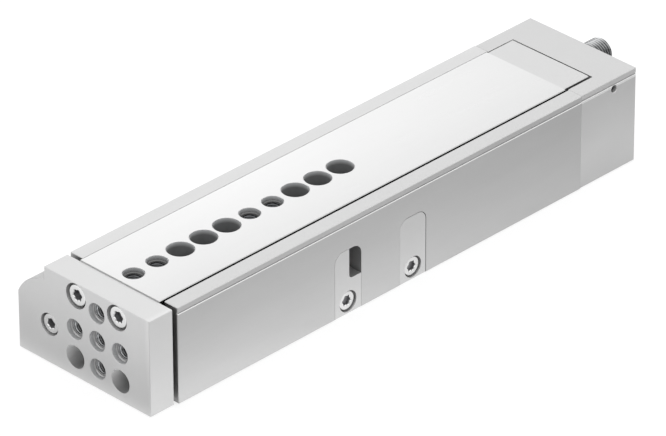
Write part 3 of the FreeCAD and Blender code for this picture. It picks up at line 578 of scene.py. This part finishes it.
def screwRings(screw):
    # Profile of (along, radius) from the tip, up the shank, out round the head, in over its face and down the
    # socket: r(angle) = tip * (1 - (1 - valley) * ((1 - cos 6 angle) / 2) ** lobePower)
    form = screwForm
    shank, head, height = screw["shank"], screw["head"], screw["height"]
    neck, foot, rim, lead = form["neck"], form["headFoot"], form["headRound"], form["socketLead"]
    angle = roundTurn(form["columns"])
    bend = np.linspace(0, math.pi / 2, form["roundSteps"])
    floor = height - height * form["socketShare"]
    tip = screw["across"] / 2
    wave = (0.5 - 0.5 * np.cos(6 * (angle - screw["turn"]))) ** form["lobePower"]
    lobes = tip * (1 - (1 - form["valley"]) * wave)
    end, tipLead = -screw["length"], form["tipLead"]
    profile = [(end, shank * form["tipShare"]), (end, shank - tipLead), (end + tipLead, shank),
               (-neck, shank), (0, shank + neck), (0, head - foot), (foot, head)]
    profile += [(height - rim + rim * math.sin(b), head - rim + rim * math.cos(b)) for b in bend]
    profile += [(height, (head - rim + tip + lead) / 2), (height, lobes + lead), (height - lead, lobes),
                (floor, lobes), (floor, lobes / 2)]
    return ringsFrom(profile, angle)


def darkenSockets(piece, screw):
    # faces inside the sockets take the punched finish
    piece.data.materials.append(materials["punchedSocket"])
    centres = np.empty(len(piece.data.polygons) * 3, dtype=np.float32)
    piece.data.polygons.foreach_get("center", centres)
    centres = centres.reshape(-1, 3) / mm
    axis = np.array(screw["out"], dtype=float)
    start, end = screwForm["darkFrom"], screw["height"] - screwForm["leadKept"] * screwForm["socketLead"]
    inside = np.zeros(len(centres), dtype=bool)
    for seat in screw["seats"]:
        away = centres - np.array(seat)
        along = away @ axis
        across = np.linalg.norm(away - along[:, None] * axis, axis=1)
        inside |= (along > start) & (along < end) & (across < screw["head"] - screwForm["rimKept"])
    piece.data.polygons.foreach_set("material_index", inside.astype(np.int32))


for nodeName, screw in screwSets.items():
    rings = screwRings(screw)
    vertices, faces = joined([solidOfRevolution(rings, seat, screw["out"]) for seat in screw["seats"]])
    piece = buildMesh("lobed_" + nodeName, vertices, faces, materials["stainlessScrew"])
    darkenSockets(piece, screw)
    shadeSmooth(piece, screwForm["sharpAngle"])
    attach(piece, screw["body"])
    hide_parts(nodeName)
print("screws made:", len(screwSets), "sets")


# Threads: a helix of crests and roots, radius = root + (crest - root) * ridge(along / pitch - angle / 2 pi)

ridgeForm = {"height": 1.25, "sunk": 0.12}  # what lies outside 0 to 1 is cut off, which makes the flats


def ridge(turns):
    # 0 at the root and 1 at the crest: a triangle wave, made higher and sunk, with both ends cut to flats
    wave = 1 - np.abs(2 * (turns % 1) - 1)
    return np.clip(ridgeForm["height"] * wave - ridgeForm["sunk"], 0, 1)


# The stop sleeve, in place of its plain CAD twin

sleeve = {
    "seat": (-101.8, 0.0, 27.7),  # centre of the front end
    "length": 23.95,
    "crest": 4.9,  # radii of the thread
    "root": 4.32,
    "pitch": 1.0,
    "chamfer": 0.7,
    "pocketRadius": 3.2,  # in the front end, for the buffer
    "pocketDepth": 8.0,
    "socketFlats": 5.0,  # hexagon in the rear end
    "socketDepth": 5.0,
    "lead": 0.25,  # lead-in of pocket and socket
    "rowsPerPitch": 12,
    "columns": 96,
    "sharpAngle": 50,
}


def hexagonRadius(angle, flats):
    # distance to the side of a hexagon with this width across flats
    third = math.pi / 3
    return flats / 2 / np.cos((angle + third / 2) % third - third / 2)


def sleeveRings():
    # pocket floor, pocket wall, front end, threaded outside, rear end, hexagon socket, socket floor
    length, crest, root, lead = sleeve["length"], sleeve["crest"], sleeve["root"], sleeve["lead"]
    angle = roundTurn(sleeve["columns"])
    count = int(length / sleeve["pitch"] * sleeve["rowsPerPitch"]) + 1
    outside = np.linspace(0, length, count)[:, None] + 0 * angle
    thread = root + (crest - root) * ridge(outside / sleeve["pitch"] - angle / (2 * math.pi))
    fromEnd = np.minimum(outside, length - outside)
    thread = np.minimum(thread, crest - np.clip(sleeve["chamfer"] - fromEnd, 0, None))
    pocket, deep = sleeve["pocketRadius"], sleeve["pocketDepth"]
    hexagon, floor = hexagonRadius(angle, sleeve["socketFlats"]), length - sleeve["socketDepth"]
    before = ringsFrom([(deep, pocket / 2), (deep, pocket), (lead, pocket), (0.0, pocket + lead)], angle)
    after = ringsFrom([(length, hexagon + lead), (length - lead, hexagon), (floor, hexagon),
                       (floor, hexagon / 2)], angle)
    along = np.concatenate([before[0], outside, after[0]])
    radius = np.concatenate([before[1], thread, after[1]])
    return along, radius, np.broadcast_to(angle, radius.shape)


vertices, faces = solidOfRevolution(sleeveRings(), sleeve["seat"], (-1, 0, 0))
piece = buildMesh("threaded_stop_sleeve", vertices, faces, materials["nickelSleeve"])
shadeSmooth(piece, sleeve["sharpAngle"])
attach(piece, "slide" if "stop_sleeve" in frame["record"]["behaviour"]["bodies"]["slide"] else "base")
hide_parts("stop_sleeve")
print("stop sleeve made")


# Linings of the plain CAD holes: a wall with its own finish, a step under each centring recess, and threads.
# A set's mouths are the open ends, and out points from the hole to the open air.

holeGrid = {
    "pitch": 10.0,
    "crossHeight": 17.4,  # of the middle hole in the yoke
    "rowStart": 85.95,  # the slide's front hole
    "smallPlaces": (0, 1, 5, 6),  # pitches behind it
    "largePlaces": (2, 3, 4, 7, 8, 9),
    "wallStart": 0.15,  # under the face, so that the CAD's chamfer stays in view
    "stepStart": 0.13,
    "threadStart": 1.95,  # at the foot of the centring recess
    "portStart": 0.3,
    "baseAlong": (60, -60),  # the threads in the bottom
    "baseAcross": (-5, 15),
    "frontPort": 70,
    "rearPort": -100.25,
}
wallForm = {
    "columns": 64,
    "large": (4.5, 9.8),  # radius of the CAD hole and depth of the wall
    "small": (3.5, 1.3),
    "yoke": (4.0, 9.6),
    "outerGap": 0.05,  # from the CAD hole to the back of the wall
    "innerGap": 0.09,  # and to the side in view
    "rows": (0.0, 0.25, 0.6, 1.0),  # shares of the depth at which the side in view has a ring
}
threadForm = {
    "columns": 48, "rowsPerPitch": 10, "pitch": 0.8, "back": 2.47, "root": 2.43, "crest": 2.1, "fade": 0.4,
}
holeSharpAngle = 40

pitch, middle = holeGrid["pitch"], holeGrid["crossHeight"]
yokeCross = [(0, middle), (0, middle + pitch), (0, middle - pitch), (pitch, middle), (-pitch, middle)]
smallRow = [holeGrid["rowStart"] - pitch * k for k in holeGrid["smallPlaces"]]
largeRow = [holeGrid["rowStart"] - pitch * k for k in holeGrid["largePlaces"]]


def wallLoop(radius, depth):
    # closed loop of (along, radius) from the mouth: up the outside of a thin tube and down its inside
    outer, inner = radius - wallForm["outerGap"], radius - wallForm["innerGap"]
    return [(-depth, outer), (0.0, outer)] + [(-depth * share, inner) for share in wallForm["rows"]]


# the step's loop: at the wall's foot the tool leaves a corner of 0.35 mm
stepLoop = [(-1.78, 3.46), (-1.4, 3.44), (-1.4, 3.41), (-1.5, 3.31), (-1.62, 3.19), (-1.75, 3.06),
            (-1.75, 2.52), (-1.78, 2.52)]

boreSets = {
    "yoke_bores": {
        "body": "slide", "finish": "yokeBoreWithPaintedLight", "slot": "yoke_anodised", "out": (1, 0, 0),
        "loop": wallLoop(*wallForm["yoke"]),
        "mouths": [(yokeFront - holeGrid["wallStart"], y, middle - pitch) for y in (-pitch, pitch)],
    },
    "slide_bores": {
        "body": "slide", "finish": "scaledBore", "slot": "slide_ground_steel", "out": (0, 0, 1),
        "loop": wallLoop(*wallForm["large"]),
        "mouths": [(x, 0, slideTop - holeGrid["wallStart"]) for x in largeRow],
    },
    "slide_centrings": {
        "body": "slide", "finish": "scaledBore", "slot": "slide_ground_steel", "out": (0, 0, 1),
        "loop": wallLoop(*wallForm["small"]),
        "mouths": [(x, 0, slideTop - holeGrid["wallStart"]) for x in smallRow],
    },
    "yoke_centrings": {
        "body": "slide", "finish": "reamedBore", "slot": "yoke_anodised", "out": (1, 0, 0),
        "loop": wallLoop(*wallForm["small"]),
        "mouths": [(yokeFront - holeGrid["wallStart"], y, z) for y, z in yokeCross],
    },
    "slide_steps": {
        "body": "slide", "finish": "slideStepPaintedShade", "slot": "slide_ground_steel", "out": (0, 0, 1),
        "loop": stepLoop, "mouths": [(x, 0, slideTop - holeGrid["stepStart"]) for x in smallRow],
    },
    "yoke_steps": {
        "body": "slide", "finish": "spotFace", "slot": "yoke_anodised", "out": (1, 0, 0),
        "loop": stepLoop, "mouths": [(yokeFront - holeGrid["stepStart"], y, z) for y, z in yokeCross],
    },
}
threadSets = {
    "yoke_threads": {
        "body": "slide", "finish": "tappedAluminium", "slot": "yoke_anodised", "out": (1, 0, 0),
        "depth": 8.0, "mouths": [(yokeFront - holeGrid["threadStart"], y, z) for y, z in yokeCross],
    },
    "slide_threads": {
        "body": "slide", "finish": "tappedThread", "slot": "slide_ground_steel", "out": (0, 0, 1),
        "depth": 6.0, "mouths": [(x, 0, slideTop - holeGrid["threadStart"]) for x in smallRow],
    },
    "base_threads": {
        "body": "base", "finish": "tappedAluminium", "slot": "housing_anodised", "out": (0, 0, -1),
        "depth": 7.0,
        "mouths": [(x, y, baseBottom + holeGrid["threadStart"])
                   for x in holeGrid["baseAlong"] for y in holeGrid["baseAcross"]],
    },
    "port_threads": {
        "body": "base", "finish": "tappedAluminium", "slot": "housing_anodised", "out": (0, -1, 0),
        "depth": 5.6, "mouths": [(holeGrid["frontPort"], bulgeSide + holeGrid["portStart"], cylinderZ)],
    },
    "cap_port_thread": {
        "body": "base", "finish": "tappedAluminium", "slot": "cap_anodised", "out": (0, -1, 0),
        "depth": 5.6, "mouths": [(holeGrid["rearPort"], bulgeSide + holeGrid["portStart"], cylinderZ)],
    },
}


def threadRings(depth):
    # closed tube: up its plain back, then down its threaded face; the ridge fades away at both ends
    form = threadForm
    angle = roundTurn(form["columns"])
    count = int(depth / form["pitch"] * form["rowsPerPitch"]) + 1
    face = np.linspace(0, -depth, count)[:, None] + 0 * angle
    fade = np.clip(np.minimum(-face, depth + face) / form["fade"], 0, 1)
    height = (form["root"] - form["crest"]) * ridge(-face / form["pitch"] + angle / (2 * math.pi)) * fade
    back = ringsFrom([(along, form["back"]) for along in (-depth, -depth / 2, 0.0)], angle)
    along = np.concatenate([back[0], face])
    radius = np.concatenate([back[1], form["root"] - height])
    return along, radius, np.broadcast_to(angle, radius.shape)


def lineHoles(name, holes, rings):
    # the same lining at each mouth of a set, as one piece
    tube = [ringFaces(*rings[1].shape, True)]
    vertices, faces = joined([(placeAt(rings, mouth, holes["out"]).reshape(-1, 3), tube)
                              for mouth in holes["mouths"]])
    piece = buildMesh(name, vertices, faces, materials[holes["finish"]])
    shadeSmooth(piece, holeSharpAngle)
    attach(piece, holes["body"])


for name, holes in boreSets.items():
    lineHoles(name, holes, ringsFrom(holes["loop"], roundTurn(wallForm["columns"])))
for name, holes in threadSets.items():
    lineHoles(name, holes, threadRings(holes["depth"]))
print("holes lined:", len(boreSets), "sets of walls,", len(threadSets), "sets of threads")


# Floor, lights, world and camera, all in metres

studio = {
    "floorHalf": 4.0,  # half the floor's side
    "floorDrop": 0.0001,  # under the object
    "floorColour": "#ececec",
    "floorShade": 0.30,  # how much of the floor's look in the picture is its own shading
    "floorGlow": 0.76,
    "mirrorShade": 0.25,  # the same two where the floor is seen in the metal
    "mirrorGlow": (0.52, 1.05),  # at the rear left and at the front right
    "mirrorWay": (0.7, 0.7, 0.0),  # from the one to the other
    "mirrorReach": 0.10,  # from the middle to where these are reached
    # axis, start and end, share of the glow there: beside the housing, in front of the yoke and beyond
    "mirrorFades": (("Y", 0.015, 0.075, 0.40), ("X", 0.098, 0.110, 0.36), ("X", 0.110, 0.150, 2.35)),
    "worldLight": 0.45,
    "lamps": {
        # place, aim, width, height, radiance
        "softboxBehind": ((-1.25, -1.2, 1.05), (0, 0, 0.02), 2.6, 1.2, 0.1),
        "softboxAbove": ((0.0, 0.0, 1.6), (0, 0, 0), 7.0, 7.0, 0.85),
    },
}


def glowInMetal(tree):
    # how bright the floor is where metal shows it: rising along mirrorWay, then faded along each axis
    place = addNode(tree, "ShaderNodeTexCoord").outputs["Object"]
    reach, (low, high) = studio["mirrorReach"], studio["mirrorGlow"]
    along = addNode(tree, "ShaderNodeVectorMath", {0: place, 1: studio["mirrorWay"]}, operation="DOT_PRODUCT")
    glow = addNode(tree, "ShaderNodeMapRange", {
        "Value": along.outputs["Value"], "From Min": -reach, "From Max": reach, "To Min": low, "To Max": high,
    }, interpolation_type="SMOOTHSTEP").outputs[0]
    parts = addNode(tree, "ShaderNodeSeparateXYZ", {0: place}).outputs
    for axis, near, far, share in studio["mirrorFades"]:
        fade = addNode(tree, "ShaderNodeMapRange", {
            "Value": parts[axis], "From Min": near, "From Max": far, "To Min": 1.0, "To Max": share,
        }, interpolation_type="SMOOTHSTEP")
        glow = addNode(tree, "ShaderNodeMath", {0: glow, 1: fade.outputs[0]}, operation="MULTIPLY").outputs[0]
    return glow


def floorMaterial():
    # A plain white floor to the light. The picture and the metal see it with a glow of its own, which turns
    # it white and keeps its shadows.
    material, tree, output = newMaterial("matteWhiteFloor")
    path = addNode(tree, "ShaderNodeLightPath").outputs
    mirror = addNode(tree, "ShaderNodeMath", {
        0: path["Is Glossy Ray"], 1: path["Is Transmission Ray"],
    }, operation="MAXIMUM")
    plain = addNode(tree, "ShaderNodeBsdfDiffuse", {"Color": hexToLinear(studio["floorColour"])})
    looks = [(mirror.outputs[0], studio["mirrorShade"], glowInMetal(tree)),
             (path["Is Camera Ray"], studio["floorShade"], studio["floorGlow"])]
    seen = plain.outputs[0]
    for ray, shade, glow in looks:
        matte = addNode(tree, "ShaderNodeBsdfDiffuse", {"Color": [shade] * 3 + [1.0]})
        bright = addNode(tree, "ShaderNodeEmission", {"Strength": glow})
        look = addNode(tree, "ShaderNodeAddShader", {0: matte.outputs[0], 1: bright.outputs[0]})
        seen = addNode(tree, "ShaderNodeMixShader", {0: ray, 1: seen, 2: look.outputs[0]}).outputs[0]
    tree.links.new(seen, output.inputs["Surface"])
    return material


def makeFloor():
    half, height = studio["floorHalf"], -studio["floorDrop"]
    vertices = np.array([(x * half, y * half, height) for x, y in ((-1, -1), (1, -1), (1, 1), (-1, 1))])
    floor = buildMesh("studio_floor", vertices, [np.array([[0, 1, 2, 3]])], floorMaterial())


def aimAt(place, target):
    way = Vector(target) - Vector(place)
    turn = way.to_track_quat("-Z", "Y").to_matrix().to_4x4()
    return Matrix.Translation(Vector(place)) @ turn


def makeLamps():
    for name, (place, aim, width, height, radiance) in studio["lamps"].items():
        lamp = bpy.data.lights.new(name, "AREA")
        lamp.shape = "RECTANGLE"
        lamp.size, lamp.size_y = width, height
        lamp.energy = radiance * width * height * math.pi  # a lambertian panel of this radiance
        holder = bpy.data.objects.new(name, lamp)
        holder.matrix_world = aimAt(place, aim)
        bpy.context.scene.collection.objects.link(holder)


def makeWorld():
    # white in the picture, and a plain level of light on the object
    world = bpy.data.worlds.new("whiteStudio")
    world.use_nodes = True
    tree = world.node_tree
    tree.nodes.clear()
    camera = addNode(tree, "ShaderNodeLightPath").outputs["Is Camera Ray"]
    level = addNode(tree, "ShaderNodeMix", {
        "Factor": camera, "A": studio["worldLight"], "B": 1.0,
    }, data_type="FLOAT")
    light = addNode(tree, "ShaderNodeBackground", {"Strength": level.outputs["Result"]})
    addNode(tree, "ShaderNodeOutputWorld", {"Surface": light.outputs[0]})
    bpy.context.scene.world = world


# place in metres and directions, solved from the photograph
view = {
    "place": (1.27239, 1.26283, 1.09382),
    "right": (-0.703098, 0.711088, -0.002619),
    "down": (0.367531, 0.360244, -0.857406),
    "forward": (-0.608747, -0.603803, -0.514634),
    "lens": 358.6,  # mm, on a sensor 36 mm wide
    "sensor": 36.0,
    "clipEnd": 20.0,
}


def makeCamera():
    lens = bpy.data.cameras.new("camera")
    lens.sensor_width = view["sensor"]
    lens.lens = view["lens"]
    lens.clip_end = view["clipEnd"]
    axes = Matrix((Vector(view["right"]), -Vector(view["down"]), -Vector(view["forward"])))
    holder = bpy.data.objects.new("camera", lens)
    holder.matrix_world = Matrix.Translation(view["place"]) @ axes.transposed().to_4x4()
    bpy.context.scene.collection.objects.link(holder)
    bpy.context.scene.camera = holder


makeFloor()
makeLamps()
makeWorld()
makeCamera()
bpy.context.scene.view_settings.view_transform = "Standard"
print("studio made:", len(studio["lamps"]), "lamps")

print("scene ready")
